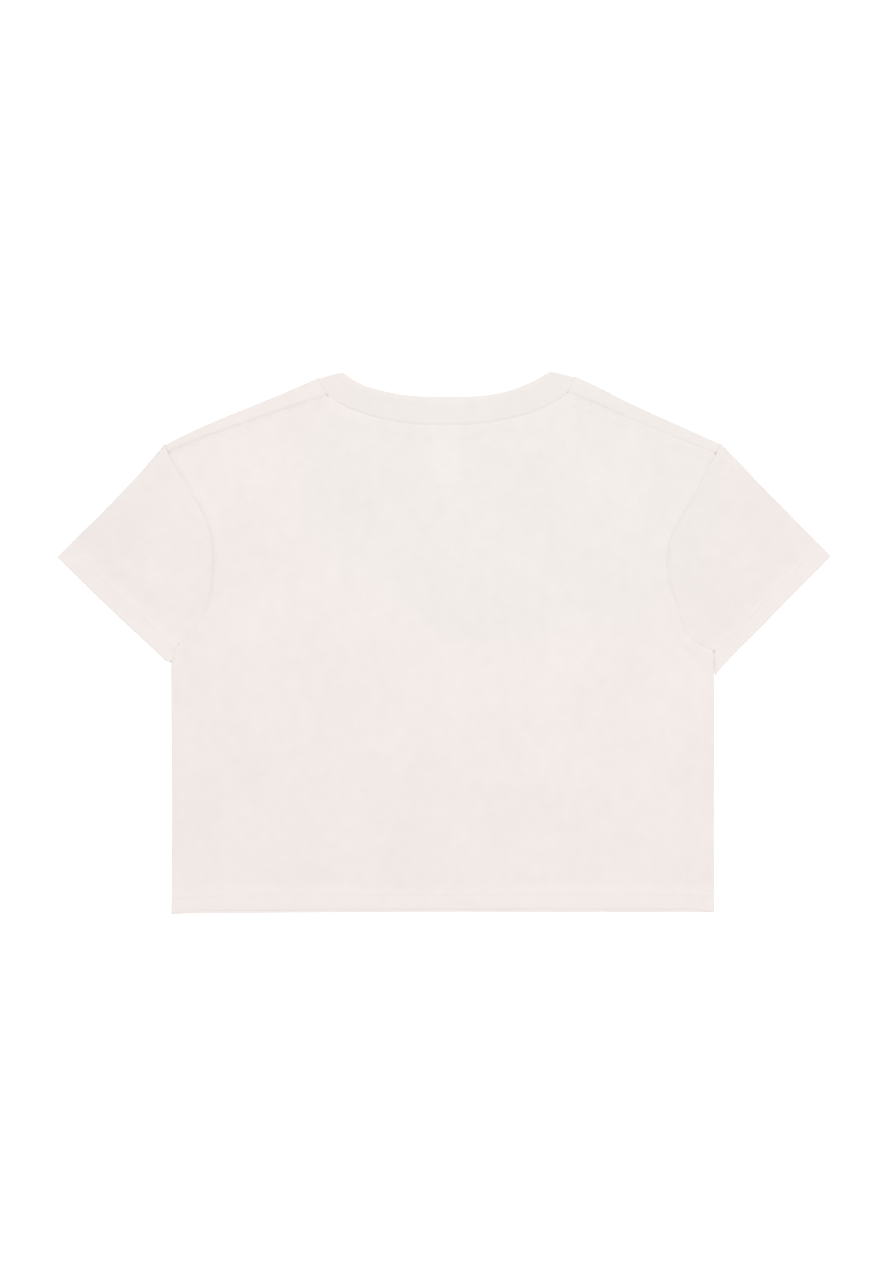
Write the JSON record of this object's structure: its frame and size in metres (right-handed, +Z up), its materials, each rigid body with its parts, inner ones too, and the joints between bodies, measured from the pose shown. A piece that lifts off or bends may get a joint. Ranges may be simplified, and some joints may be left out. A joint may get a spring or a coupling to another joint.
{
  "type": "crop top",
  "caption": "Boxy cropped T-shirt in off-white cotton jersey, laid flat with its back up: short sleeves, a rib neck band and turned-up hems.",
  "frame": {"origin": "on the surface it lies on, under the middle of the garment's outline", "axes": "+X across the garment from its left to its right as seen from above, +Y from the hem to the neck, +Z up from the surface, out of the back panel"},
  "size_m": [0.6934, 0.4862, 0.0037],
  "materials": {
    "jersey": "matt single jersey, pressed flat",
    "rib": "matt fine rib knit",
    "label": "smooth woven tape, bare"
  },
  "bodies": {
    "root": {"front_panel": "jersey", "back_panel": "jersey", "sleeve_left": "jersey", "sleeve_right": "jersey", "neck_rib": "rib", "neck_label": "label"}
  },
  "joints": []
}
